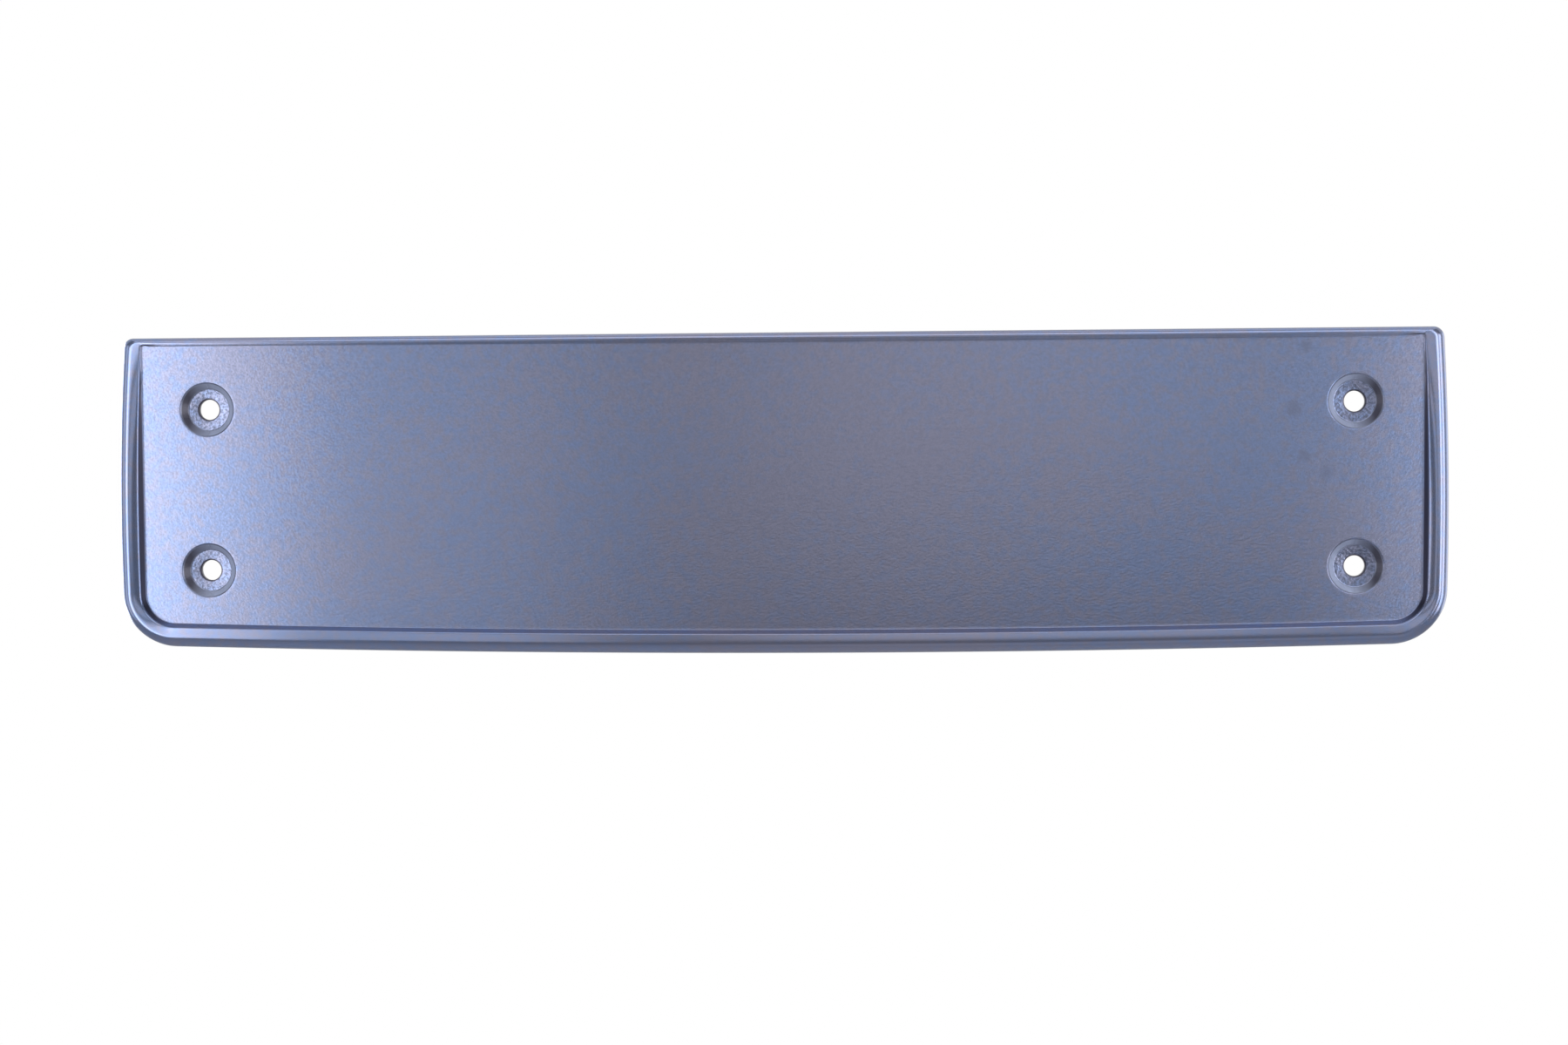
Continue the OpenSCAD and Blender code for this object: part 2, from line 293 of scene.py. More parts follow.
def section_points():
    """The rim's section from the face over the bead, round the rear edge and back to the face."""
    lean = math.atan(WALL_SLOPE)
    turn = math.pi / 2 - lean
    tangent = math.tan(turn / 2)
    points = []

    def add(**parts):
        points.append({name: parts.get(name, 0) for name in PARTS})

    def straight_to(steps, **parts):
        start = points[-1]
        end = {name: parts.get(name, 0) for name in PARTS}
        for i in range(1, steps):
            points.append({name: start[name] + (end[name] - start[name]) * i / steps for name in PARTS})
        points.append(end)

    add(width=1, run=1, crease=tangent, across=BAND, face=1)
    for i in range(CREASE_STEPS + 1):
        a = turn * i / CREASE_STEPS
        add(width=1, run=1, crease=tangent - math.sin(a), face=1, crease_drop=math.cos(a) - 1)
    for i in range(INNER_EDGE_STEPS + 1):
        a = turn + (CROWN_SLOPE - turn) * i / INNER_EDGE_STEPS
        edge = dict(width=1, inner=math.sin(a) - 1, front=1, inner_drop=math.cos(CROWN_SLOPE) - math.cos(a),
                    fall=CROWN_FALL, polish=min(1, 2 * i / INNER_EDGE_STEPS))
        if i == 0:
            straight_to(4, **edge)
        else:
            add(**edge)
    for i in range(1, CROWN_STEPS):
        t = 1 - i / CROWN_STEPS
        add(width=t, inner=t * (math.sin(CROWN_SLOPE) - 1), outer=(1 - t) * CROWN_TOP, front=1,
            fall=CROWN_FALL * t ** CROWN_POWER, polish=1)
    for i in range(OUTER_EDGE_STEPS + 1):
        a = math.pi / 2 * (1 - i / OUTER_EDGE_STEPS)
        add(outer=(1 - math.cos(a)) * CROWN_TOP, front=1, outer_drop=1 - math.sin(a), polish=1)
    soft = REAR_EDGE * (1 - math.sqrt(0.5))
    straight_to(4, across=-FLARE, rear=1, drop=-REAR_EDGE, polish=1)
    add(across=-FLARE + soft, rear=1, drop=-soft, polish=1)
    add(across=-FLARE + REAR_EDGE, rear=1, polish=1)
    straight_to(2, across=WALL - FLARE - REAR_EDGE, rear=1, polish=0.5)
    add(across=WALL - FLARE - soft, rear=1, drop=-soft)
    add(across=WALL - FLARE, rear=1, drop=-REAR_EDGE)
    straight_to(2, across=WALL, front=1 - CHANNEL_FOOT, rear=CHANNEL_FOOT, drop=WALL)
    add(across=WALL, front=1, drop=WALL, shut_across=WALL, shut_drop=3 * SHUT_STEP, shuts=1)
    leg = FACE_THICKNESS * WALL_SLOPE
    straight_to(3, width=1, run=1, across=leg - 2 * WALL, front=1, drop=WALL,
                shut_across=WALL + SHUT_STEP, shut_drop=SHUT_STEP, shuts=1)
    straight_to(4, width=1, run=1, across=leg - WALL, face=1, drop=FACE_THICKNESS,
                shut_across=WALL + 3 * SHUT_STEP, shuts=1)
    add(width=1, run=1, across=leg - WALL + BAND, face=1, drop=FACE_THICKNESS,
        shut_across=WALL + 3 * SHUT_STEP + BAND, shuts=1)
    return points


# The edge and crease shares are the most that a rounding takes of the rise beside it. Flat Fall is how
# much of the crown's fall is left along the bottom and the top. Lip Stretch widens the lip's inner side,
# so that it runs softly into the face. The channel closes between the heights Close From and Close To.
RIM = {
    "Bead Width": BEAD_WIDTH,
    "Lip Width": LIP_WIDTH,
    "Bead Outer Radius": 5 * MM,
    "Lip Outer Radius": 2.5 * MM,
    "Bead Inner Radius": 1.6 * MM,
    "Edge Share": 0.8,
    "Lip Edge Share": 0.1,
    "Flat Fall": 0.3,
    "Lip Stretch": 9,
    "Crease Radius": 0.45 * MM,
    "Crease Share": 0.3,
    "Wall Slope": WALL_SLOPE,
    "Close From": 38 * MM,
    "Close To": 54 * MM,
    "Face Depth": FACE_Y,
    "Face Back Depth": FACE_BACK_Y,
}


def rim_tree():
    """Sweeps the section round the stations. The guide's points are the stations, then the section."""
    tree, given = new_tree("moulded rim", {**RIM, **RISE, **BOW, **REAR}, [
        ("Guide", "NodeSocketGeometry"), ("Stations", "NodeSocketInt"),
        ("Section Points", "NodeSocketInt"), ("Material", "NodeSocketMaterial")])
    rise_sizes = {name: given[name] for name in RISE}
    bow_sizes = {name: given[name] for name in BOW}
    rear_sizes = {name: given[name] for name in REAR}

    rows = add_node(tree, "ShaderNodeMath", {0: given["Stations"], 1: 1})
    grid = add_node(tree, "GeometryNodeMeshGrid",
                    {"Vertices X": rows, "Vertices Y": given["Section Points"]})
    index = add_node(tree, "GeometryNodeInputIndex")
    row = add_node(tree, "ShaderNodeMath", {0: index, 1: given["Section Points"]}, operation="DIVIDE")
    row = add_node(tree, "ShaderNodeMath", {0: row}, operation="FLOOR")
    station = add_node(tree, "ShaderNodeMath", {0: row, 1: given["Stations"]}, operation="MODULO")
    column = add_node(tree, "ShaderNodeMath", {0: index, 1: given["Section Points"]}, operation="MODULO")
    spot = add_node(tree, "ShaderNodeMath", {0: column, 1: given["Stations"]})
    read = {}
    for name, place in (("outer_edge", station), ("inner_edge", station), ("shares", station),
                        ("across_1", spot), ("across_2", spot), ("level", spot), ("drop_1", spot),
                        ("drop_2", spot), ("shut", spot)):
        source = add_node(tree, "GeometryNodeInputNamedAttribute", {"Name": name}, data_type="FLOAT_VECTOR")
        read[name] = add_node(tree, "GeometryNodeSampleIndex",
                              {"Geometry": given["Guide"], "Value": source, "Index": place},
                              data_type="FLOAT_VECTOR", domain="POINT")
    shares = add_node(tree, "ShaderNodeSeparateXYZ", {0: read["shares"]}).outputs
    lip = shares["X"]
    width = add_node(tree, "ShaderNodeMapRange",
                     {"Value": lip, "To Min": given["Bead Width"], "To Max": given["Lip Width"]})
    outer_r = add_node(tree, "ShaderNodeMapRange", {
        "Value": lip, "To Min": given["Bead Outer Radius"], "To Max": given["Lip Outer Radius"]})
    inner_edge = add_node(tree, "GeometryNodeGroup", {"Point": read["inner_edge"], **bow_sizes},
                          node_tree=BOW_RULE)
    outer_edge = add_node(tree, "GeometryNodeGroup", {"Point": read["outer_edge"], **bow_sizes},
                          node_tree=BOW_RULE)
    inner_z = add_node(tree, "ShaderNodeSeparateXYZ", {0: inner_edge}).outputs["Z"]
    outer_z = add_node(tree, "ShaderNodeSeparateXYZ", {0: outer_edge}).outputs["Z"]
    recess = add_node(tree, "GeometryNodeGroup", {"Z": inner_z, **rise_sizes}, node_tree=RISE_RULE)
    share = add_node(tree, "ShaderNodeMapRange",
                     {"Value": lip, "To Min": given["Edge Share"], "To Max": given["Lip Edge Share"]})
    least = add_node(tree, "ShaderNodeMath", {0: recess, 1: share}, operation="MULTIPLY")
    inner_r = add_node(tree, "ShaderNodeMath", {0: least, 1: given["Bead Inner Radius"]},
                       operation="MINIMUM")
    least = add_node(tree, "ShaderNodeMath", {0: recess, 1: given["Crease Share"]}, operation="MULTIPLY")
    crease_r = add_node(tree, "ShaderNodeMath", {0: least, 1: given["Crease Radius"]}, operation="MINIMUM")
    wall_run = add_node(tree, "ShaderNodeMath", {0: recess, 1: given["Wall Slope"]}, operation="MULTIPLY")
    fall_share = add_node(tree, "ShaderNodeMapRange",
                          {"Value": shares["Y"], "To Min": given["Flat Fall"], "To Max": 1})
    fall = add_node(tree, "ShaderNodeMath", {0: wall_run, 1: fall_share}, operation="MULTIPLY")
    closing = add_node(tree, "ShaderNodeMapRange",
                       {"Value": outer_z, "From Min": given["Close From"], "From Max": given["Close To"]},
                       interpolation_type="SMOOTHSTEP")
    closing = add_node(tree, "ShaderNodeMath", {0: closing, 1: lip}, operation="MAXIMUM")

    # distance in from the outer edge
    stretch = add_node(tree, "ShaderNodeMapRange",
                       {"Value": lip, "To Min": 1, "To Max": given["Lip Stretch"]})
    sides = add_node(tree, "ShaderNodeCombineXYZ", {"X": inner_r, "Y": crease_r, "Z": wall_run})
    sides = add_node(tree, "ShaderNodeVectorMath", {0: sides, "Scale": stretch}, operation="SCALE")
    sides = add_node(tree, "ShaderNodeSeparateXYZ", {0: sides}).outputs
    radii = add_node(tree, "ShaderNodeCombineXYZ", {"X": width, "Y": outer_r, "Z": sides["X"]})
    runs = add_node(tree, "ShaderNodeCombineXYZ", {"X": sides["Y"], "Y": sides["Z"], "Z": 1})
    near = add_node(tree, "ShaderNodeVectorMath", {0: read["across_1"], 1: radii}, operation="DOT_PRODUCT")
    far = add_node(tree, "ShaderNodeVectorMath", {0: read["across_2"], 1: runs}, operation="DOT_PRODUCT")
    across = add_node(tree, "ShaderNodeMath", {0: near.outputs["Value"], 1: far.outputs["Value"]})
    shut = add_node(tree, "ShaderNodeSeparateXYZ", {0: read["shut"]}).outputs
    shift = add_node(tree, "ShaderNodeMath", {0: closing, 1: shut["Z"]}, operation="MULTIPLY")
    across = add_node(tree, "ShaderNodeMapRange", {"Value": shift, "To Min": across, "To Max": shut["X"]})
    part = add_node(tree, "ShaderNodeMath", {0: across, 1: width}, operation="DIVIDE")
    inward = add_node(tree, "ShaderNodeVectorMath", {0: read["inner_edge"], 1: read["outer_edge"]},
                      operation="SUBTRACT")
    step = add_node(tree, "ShaderNodeVectorMath", {0: inward, "Scale": part}, operation="SCALE")
    flat = add_node(tree, "ShaderNodeVectorMath", {0: step, 1: read["outer_edge"]})
    place = add_node(tree, "GeometryNodeGroup", {"Point": flat, **bow_sizes}, node_tree=BOW_RULE)
    place = add_node(tree, "ShaderNodeSeparateXYZ", {0: place}).outputs

    # depth behind the front of the rim, the face or the rear edge
    rise = add_node(tree, "GeometryNodeGroup", {"Z": place["Z"], **rise_sizes}, node_tree=RISE_RULE)
    rear = add_node(tree, "GeometryNodeGroup", {"X": place["X"], **rear_sizes}, node_tree=REAR_RULE)
    front = add_node(tree, "ShaderNodeMath", {0: given["Face Depth"], 1: rise}, operation="SUBTRACT")
    levels = add_node(tree, "ShaderNodeCombineXYZ", {"X": front, "Y": given["Face Depth"], "Z": rear})
    level = add_node(tree, "ShaderNodeVectorMath", {0: read["level"], 1: levels}, operation="DOT_PRODUCT")
    drops = add_node(tree, "ShaderNodeCombineXYZ", {"X": outer_r, "Y": inner_r, "Z": crease_r})
    drop = add_node(tree, "ShaderNodeVectorMath", {0: read["drop_1"], 1: drops}, operation="DOT_PRODUCT")
    extra = add_node(tree, "ShaderNodeSeparateXYZ", {0: read["drop_2"]}).outputs
    depth = add_node(tree, "ShaderNodeMath", {0: level.outputs["Value"], 1: drop.outputs["Value"]})
    depth = add_node(tree, "ShaderNodeMath", {0: depth, 1: extra["X"]})
    depth = add_node(tree, "ShaderNodeMath", {0: extra["Z"], 1: fall, 2: depth}, operation="MULTIPLY_ADD")
    closed = add_node(tree, "ShaderNodeMath", {0: given["Face Back Depth"], 1: shut["Y"]})
    depth = add_node(tree, "ShaderNodeMapRange", {"Value": shift, "To Min": depth, "To Max": closed})
    point = add_node(tree, "ShaderNodeCombineXYZ", {"X": place["X"], "Y": depth, "Z": place["Z"]})

    placed = add_node(tree, "GeometryNodeSetPosition", {"Geometry": grid, "Position": point})
    kept = add_node(tree, "GeometryNodeStoreNamedAttribute",
                    {"Geometry": placed, "Name": "polish", "Value": extra["Y"]},
                    data_type="FLOAT", domain="POINT")
    sewn = add_node(tree, "GeometryNodeMergeByDistance", {"Geometry": kept, "Distance": WELD})
    plain = add_node(tree, "GeometryNodeRealizeInstances", {"Geometry": sewn})
    done = add_node(tree, "GeometryNodeSetMaterial", {"Geometry": plain, "Material": given["Material"]})
    add_node(tree, "NodeGroupOutput", {"Geometry": done})
    return tree


def rim_mesh(material):
    """The rim, swept from a guide whose points carry the stations and the section as attributes."""
    outer, inner, shares = rim_stations()
    section = section_points()
    count = len(outer)
    mesh = bpy.data.meshes.new("rim_guide")
    mesh.from_pydata([(0, 0, 0)] * (count + len(section)), [], [])
    stations = {
        "outer_edge": [(x, 0, z) for x, z in outer],
        "inner_edge": [(x, 0, z) for x, z in inner],
        "shares": [(lip, side, 0) for lip, side in shares],
    }
    parts = {
        "across_1": ("width", "outer", "inner"),
        "across_2": ("crease", "run", "across"),
        "level": ("front", "face", "rear"),
        "drop_1": ("outer_drop", "inner_drop", "crease_drop"),
        "drop_2": ("drop", "polish", "fall"),
        "shut": ("shut_across", "shut_drop", "shuts"),
    }
    for name, rows in stations.items():
        values = [v for row in rows for v in row] + [0] * (3 * len(section))
        mesh.attributes.new(name, "FLOAT_VECTOR", "POINT").data.foreach_set("vector", values)
    for name, keys in parts.items():
        values = [0] * (3 * count) + [point[key] for point in section for key in keys]
        mesh.attributes.new(name, "FLOAT_VECTOR", "POINT").data.foreach_set("vector", values)
    guide = bpy.data.objects.new("rim_guide", mesh)
    return grown(guide, rim_tree(), {**RIM, **RISE, **BOW, **REAR, "Stations": count,
                                     "Section Points": len(section), "Material": material})


# Screw wells
def rounded(corners):
    """Profile through (radius, depth, rounding, steps) corners, each rounded as it says."""
    profile = [Vector(corners[0][:2])]
    for before, (r, y, rounding, steps), after in zip(corners, corners[1:], corners[2:]):
        here = Vector((r, y))
        if not rounding:
            profile.append(here)
            continue
        to_a = (Vector(before[:2]) - here).normalized()
        to_b = (Vector(after[:2]) - here).normalized()
        half = to_a.angle(to_b) / 2
        start = here + to_a * (rounding / math.tan(half))
        centre = here + (to_a + to_b).normalized() * (rounding / math.sin(half))
        end = here + to_b * (rounding / math.tan(half))
        sweep = (start - centre).angle_signed(end - centre)
        for i in range(steps + 1):
            spoke = start - centre
            spoke.rotate(Matrix.Rotation(-sweep * i / steps, 2))
            profile.append(centre + spoke)
    profile.append(Vector(corners[-1][:2]))
    return profile


def well_mesh():
    """One screw well on its own axis, from the front of the face to the back of it round the boss."""
    floor_y = FACE_Y + WELL_DEPTH
    back_y = floor_y + WELL_FLOOR_THICKNESS
    profile = rounded([
        (WELL_RADIUS + WELL_BAND, FACE_Y, 0, 0),
        (WELL_RADIUS, FACE_Y, 0.5 * MM, 5),
        (WELL_FLOOR_RADIUS, floor_y, 0.7 * MM, 5),
        (HOLE_RADIUS, floor_y, 0.5 * MM, 4),
        (HOLE_RADIUS, back_y, 0.2 * MM, 2),
        (BOSS_BORE_RADIUS, back_y, 0.4 * MM, 2),
        (BOSS_BORE_RADIUS, 0, 0.3 * MM, 2),
        (BOSS_RADIUS, 0, 0.3 * MM, 2),
        (BOSS_RADIUS, back_y, 0.6 * MM, 3),
        (CUP_RADIUS, back_y, 0.4 * MM, 2),
        (CUP_RADIUS, FACE_BACK_Y, 0.5 * MM, 3),
        (CUP_RADIUS + WELL_BAND, FACE_BACK_Y, 0, 0),
    ])
    bm = bmesh.new()
    ring = [bm.verts.new((p.x, p.y, 0)) for p in profile]
    edges = [bm.edges.new(pair) for pair in zip(ring, ring[1:])]
    bmesh.ops.spin(bm, geom=ring + edges, cent=(0, 0, 0), axis=(0, 1, 0), angle=2 * math.pi,
                   steps=WELL_SEGMENTS, use_merge=True)
    bmesh.ops.remove_doubles(bm, verts=bm.verts, dist=WELD)
    mesh = bpy.data.meshes.new("well")
    bm.to_mesh(mesh)
    bm.free()
    return mesh


def four_wells(material):
    """The well at each of the four hole centres."""
    sizes = {"Spacing Across": HOLE_DX, "Spacing Up": HOLE_DZ}
    tree, given = new_tree("screw wells", sizes,
                           [("Well", "NodeSocketGeometry"), ("Material", "NodeSocketMaterial")])
    grid = add_node(tree, "GeometryNodeMeshGrid", {
        "Size X": given["Spacing Across"], "Size Y": given["Spacing Up"], "Vertices X": 2, "Vertices Y": 2})
    upright = add_node(tree, "GeometryNodeTransform", {"Geometry": grid, "Rotation": (math.pi / 2, 0, 0)})
    wells = add_node(tree, "GeometryNodeInstanceOnPoints", {"Points": upright, "Instance": given["Well"]})
    plain = add_node(tree, "GeometryNodeRealizeInstances", {"Geometry": wells})
    done = add_node(tree, "GeometryNodeSetMaterial", {"Geometry": plain, "Material": given["Material"]})
    add_node(tree, "NodeGroupOutput", {"Geometry": done})
    return grown(bpy.data.objects.new("well_guide", well_mesh()), tree, {**sizes, "Material": material})


# Ribs. Hole Gap is where the cross ribs stop beside a hole's axis, inside the boss. Root Depth, Well Root
# Depth and Web Depth are how far forward the ribs reach: into the face, into a well's floor, and from
# Step In outwards up into the bead's channel, where the rise of the rim comes on top.
RIBS = {
    "Rib Pitch": 78 * MM,
    "Rib Thickness": 1.8 * MM,
    "Rib Short": 1.2 * MM,
    "Cross Spacing": HOLE_DZ,
    "Hole Offset": HOLE_DX / 2,
    "Hole Gap": 6.5 * MM,
    "Well Reach": 11.8 * MM,
    "Well Root Depth": FACE_Y + WELL_DEPTH + WELL_FLOOR_THICKNESS / 2,
    "Root Depth": FACE_BACK_Y - 1.2 * MM,
    "Web Depth": FACE_Y + 2.1 * MM,
    "End In": 2 * MM,
    "Step In": 8.2 * MM,
    "Bottom": -BOTTOM,
    "Top End": TOP - 2 * MM,
}
RIB_COUNT = 5
UPRIGHT_STEPS = 120
SPAN_STEPS = 300


def rib_tree():
    """Upright ribs in a row and a cross rib at the height of each pair of holes.

    Each starts as a slab of unit length and depth, and every point of it is then put where the rule
    says: ends in the skirt, the front edge in the face or up in the channel, the rear edge on the curve.
    """
    tree, given = new_tree("stiffening ribs", {**RIBS, **RISE, **BOW, **REAR}, [
        ("Guide", "NodeSocketGeometry"), ("Rib Count", "NodeSocketInt"),
        ("Material", "NodeSocketMaterial")])
    rise_sizes = {name: given[name] for name in RISE}
    bow_sizes = {name: given[name] for name in BOW}
    rear_sizes = {name: given[name] for name in REAR}
    here = add_node(tree, "ShaderNodeSeparateXYZ", {0: add_node(tree, "GeometryNodeInputPosition")}).outputs
    at_front = add_node(tree, "FunctionNodeCompare", {0: here["Y"], 1: 0}, operation="LESS_THAN")

    ribs = []
    for upright in (True, False):
        if upright:
            gaps = add_node(tree, "ShaderNodeMath", {0: given["Rib Count"], 1: 1}, operation="SUBTRACT")
            first = add_node(tree, "ShaderNodeMath", {0: gaps, 1: -0.5}, operation="MULTIPLY")
            first = add_node(tree, "ShaderNodeMath", {0: first, 1: given["Rib Pitch"]},
                             operation="MULTIPLY")
            start = add_node(tree, "ShaderNodeCombineXYZ", {"X": first})
            offset = add_node(tree, "ShaderNodeCombineXYZ", {"X": given["Rib Pitch"]})
            line = add_node(tree, "GeometryNodeMeshLine",
                            {"Count": given["Rib Count"], "Start Location": start, "Offset": offset})
            size = add_node(tree, "ShaderNodeCombineXYZ", {"X": given["Rib Thickness"], "Y": 1, "Z": 1})
            steps = {"Vertices X": 2, "Vertices Y": 2, "Vertices Z": UPRIGHT_STEPS}
            edge_at = add_node(tree, "ShaderNodeCombineXYZ", {"X": here["X"], "Z": given["Bottom"]})
            root = given["Root Depth"]
        else:
            # three spans at each height, two units apart: a boss takes the rib's place at each hole
            line = add_node(tree, "GeometryNodeMeshGrid", {
                "Size X": 4, "Size Y": given["Cross Spacing"], "Vertices X": 3, "Vertices Y": 2})
            line = add_node(tree, "GeometryNodeTransform",
                            {"Geometry": line, "Rotation": (math.pi / 2, 0, 0)})
            size = add_node(tree, "ShaderNodeCombineXYZ", {"X": 1, "Y": 1, "Z": given["Rib Thickness"]})
            steps = {"Vertices X": SPAN_STEPS, "Vertices Y": 2, "Vertices Z": 2}
            edge_at = add_node(tree, "ShaderNodeCombineXYZ", {"X": given["Half Width"], "Z": here["Z"]})
        slab = add_node(tree, "GeometryNodeMeshCube", {"Size": size, **steps})
        row = add_node(tree, "GeometryNodeInstanceOnPoints", {"Points": line, "Instance": slab})
        row = add_node(tree, "GeometryNodeRealizeInstances", {"Geometry": row})
        edge = add_node(tree, "GeometryNodeGroup", {"Point": edge_at, **bow_sizes}, node_tree=BOW_RULE)
        edge = add_node(tree, "ShaderNodeSeparateXYZ", {0: edge}).outputs
        if upright:
            low = add_node(tree, "ShaderNodeMath", {0: edge["Z"], 1: given["End In"]})
            z = add_node(tree, "ShaderNodeMapRange", {
                "Value": here["Z"], "From Min": -0.5, "From Max": 0.5,
                "To Min": low, "To Max": given["Top End"]})
            x = here["X"]
            inset = add_node(tree, "ShaderNodeMath", {0: z, 1: edge["Z"]}, operation="SUBTRACT")
        else:
            end = add_node(tree, "ShaderNodeMath", {0: edge["X"], 1: given["End In"]}, operation="SUBTRACT")
            span = add_node(tree, "ShaderNodeMath", {0: here["X"], 1: 0.5}, operation="MULTIPLY")
            span = add_node(tree, "ShaderNodeMath", {0: span}, operation="ROUND")
            along = add_node(tree, "ShaderNodeMath", {0: span, 1: -2, 2: here["X"]},
                             operation="MULTIPLY_ADD")
            inner = add_node(tree, "ShaderNodeMath", {0: given["Hole Offset"], 1: given["Hole Gap"]},
                             operation="SUBTRACT")
            outer = add_node(tree, "ShaderNodeMath", {0: given["Hole Offset"], 1: given["Hole Gap"]})
            opposite = add_node(tree, "ShaderNodeMath", {0: inner, 1: -1}, operation="MULTIPLY")
            middle = add_node(tree, "ShaderNodeMapRange", {
                "Value": along, "From Min": -0.5, "From Max": 0.5, "To Min": opposite, "To Max": inner})
            outwards = add_node(tree, "ShaderNodeMath", {0: along, 1: span}, operation="MULTIPLY")
            beyond = add_node(tree, "ShaderNodeMapRange", {
                "Value": outwards, "From Min": -0.5, "From Max": 0.5, "To Min": outer, "To Max": end})
            beyond = add_node(tree, "ShaderNodeMath", {0: beyond, 1: span}, operation="MULTIPLY")
            at_side = add_node(tree, "ShaderNodeMath", {0: span}, operation="ABSOLUTE")
            x = add_node(tree, "ShaderNodeMapRange",
                         {"Value": at_side, "To Min": middle, "To Max": beyond})
            z = here["Z"]
            side = add_node(tree, "ShaderNodeMath", {0: x}, operation="ABSOLUTE")
            inset = add_node(tree, "ShaderNodeMath", {0: edge["X"], 1: side}, operation="SUBTRACT")
            from_hole = add_node(tree, "ShaderNodeMath", {0: side, 1: given["Hole Offset"]},
                                 operation="SUBTRACT")
            from_hole = add_node(tree, "ShaderNodeMath", {0: from_hole}, operation="ABSOLUTE")
            behind_well = add_node(tree, "FunctionNodeCompare", {0: from_hole, 1: given["Well Reach"]},
                                   operation="LESS_THAN")
            root = add_node(tree, "GeometryNodeSwitch", {
                "Switch": behind_well, "False": given["Root Depth"], "True": given["Well Root Depth"]},
                input_type="FLOAT")
        in_channel = add_node(tree, "FunctionNodeCompare", {0: inset, 1: given["Step In"]},
                              operation="LESS_THAN")
        rise = add_node(tree, "GeometryNodeGroup", {"Z": z, **rise_sizes}, node_tree=RISE_RULE)
        web = add_node(tree, "ShaderNodeMath", {0: given["Web Depth"], 1: rise}, operation="SUBTRACT")
        front = add_node(tree, "GeometryNodeSwitch",
                         {"Switch": in_channel, "False": root, "True": web}, input_type="FLOAT")
        rear = add_node(tree, "GeometryNodeGroup", {"X": x, **rear_sizes}, node_tree=REAR_RULE)
        rear = add_node(tree, "ShaderNodeMath", {0: rear, 1: given["Rib Short"]}, operation="SUBTRACT")
        depth = add_node(tree, "GeometryNodeSwitch", {"Switch": at_front, "False": rear, "True": front},
                         input_type="FLOAT")
        point = add_node(tree, "ShaderNodeCombineXYZ", {"X": x, "Y": depth, "Z": z})
        ribs.append(add_node(tree, "GeometryNodeSetPosition", {"Geometry": row, "Position": point}))
    both = add_node(tree, "GeometryNodeJoinGeometry")
    for rib in ribs:
        tree.links.new(rib.outputs[0], both.inputs[0])
    plain = add_node(tree, "GeometryNodeRealizeInstances", {"Geometry": both})
    done = add_node(tree, "GeometryNodeSetMaterial", {"Geometry": plain, "Material": given["Material"]})
    add_node(tree, "NodeGroupOutput", {"Geometry": done})
    return tree


def rib_mesh(material):
    guide = bpy.data.objects.new("rib_guide", bpy.data.meshes.new("rib_guide"))
    return grown(guide, rib_tree(), {
        **RIBS, **RISE, **BOW, **REAR, "Rib Count": RIB_COUNT, "Material": material})


# The whole moulding
# an edge sharper than this is shaded as an edge
SHARP_ANGLE = math.radians(38)


def moulding(material):
    """Rim, wells and ribs in one mesh, with the face and its back filled in between them."""
    bm = bmesh.new()
    for mesh in (rim_mesh(material), four_wells(material)):
        bm.from_mesh(mesh)
    for level in (FACE_Y, FACE_BACK_Y):
        open_edges = [e for e in bm.edges
                      if e.is_boundary and all(abs(v.co.y - level) < WELD for v in e.verts)]
        bmesh.ops.triangle_fill(bm, use_beauty=True, use_dissolve=False, edges=open_edges)
    bmesh.ops.recalc_face_normals(bm, faces=bm.faces)
    bm.from_mesh(rib_mesh(material))
    for face in bm.faces:
        face.smooth = True
        face.material_index = 0
    mesh = bpy.data.meshes.new("holder_moulding")
    bm.to_mesh(mesh)
    bm.free()
    mesh.materials.append(material)
    mesh.set_sharp_from_angle(angle=SHARP_ANGLE)
    piece = bpy.data.objects.new("holder_moulding", mesh)
    bpy.context.scene.collection.objects.link(piece)
    return piece


# Material: two base colours, then painted shade on the walls, eroded well walls, dark specks and marks
SLATE_BLUE = "#6B7898"
SLATE_VIOLET = "#77788C"
# painted shade: dark drawn on the recess walls near the ends, on the outer side of each well and in a ring
# round each hole
PAINTED_SHADE = "#41404D"
ERODED_WALL = "#99A2BB"
DARK_SPECK = "#50566A"
DULL_MARK = "#666E88"
# how far the sheen takes on the plastic's own colour: less on the eroded walls
METALLIC = 0.85
ERODED_METALLIC = 0.4
FACE_ROUGHNESS = 0.26
BEAD_ROUGHNESS = 0.2
WALL_ROUGHNESS = 0.32
# the real satin grain is about 0.15 mm apart: drawn at the least that shows
GRAIN = 0.9 * MM
GRAIN_DEPTH = 0.05 * MM
# how much the deepest pits of the grain darken it
PIT_SHARE = 0.22
# the spark-eroded wells have a coarser grain of about 0.4 mm: also drawn as coarse as it has to be
SPECKLE = 1.1 * MM
SPECKLE_DEPTH = 0.08 * MM
# size of the colour's small clouds, and of its wide drift
CLOUD = 3.2 * MM
DRIFT = 40 * MM
# where along X the colour is most violet, and how far that reaches
VIOLET_MIDDLE = 35 * MM
VIOLET_REACH = 120 * MM
# a change of finish starts this far from the level of the face, and is whole this far from it
STEP_STARTS = 0.1 * MM
STEP_ENDS = 0.7 * MM
# width of a change of finish round a well or a hole
FINISH_EDGE = 0.4 * MM
# the painted shade on the recess walls starts this far in from its ends, and is whole this far in
END_SHADE_STARTS = 19 * MM
END_SHADE_ENDS = 13 * MM
# the painted shade on the outer side of a well, in parts of the well's radius: where it starts and where it
# is whole
SHADE_STARTS = -0.2
SHADE_ENDS = 0.7
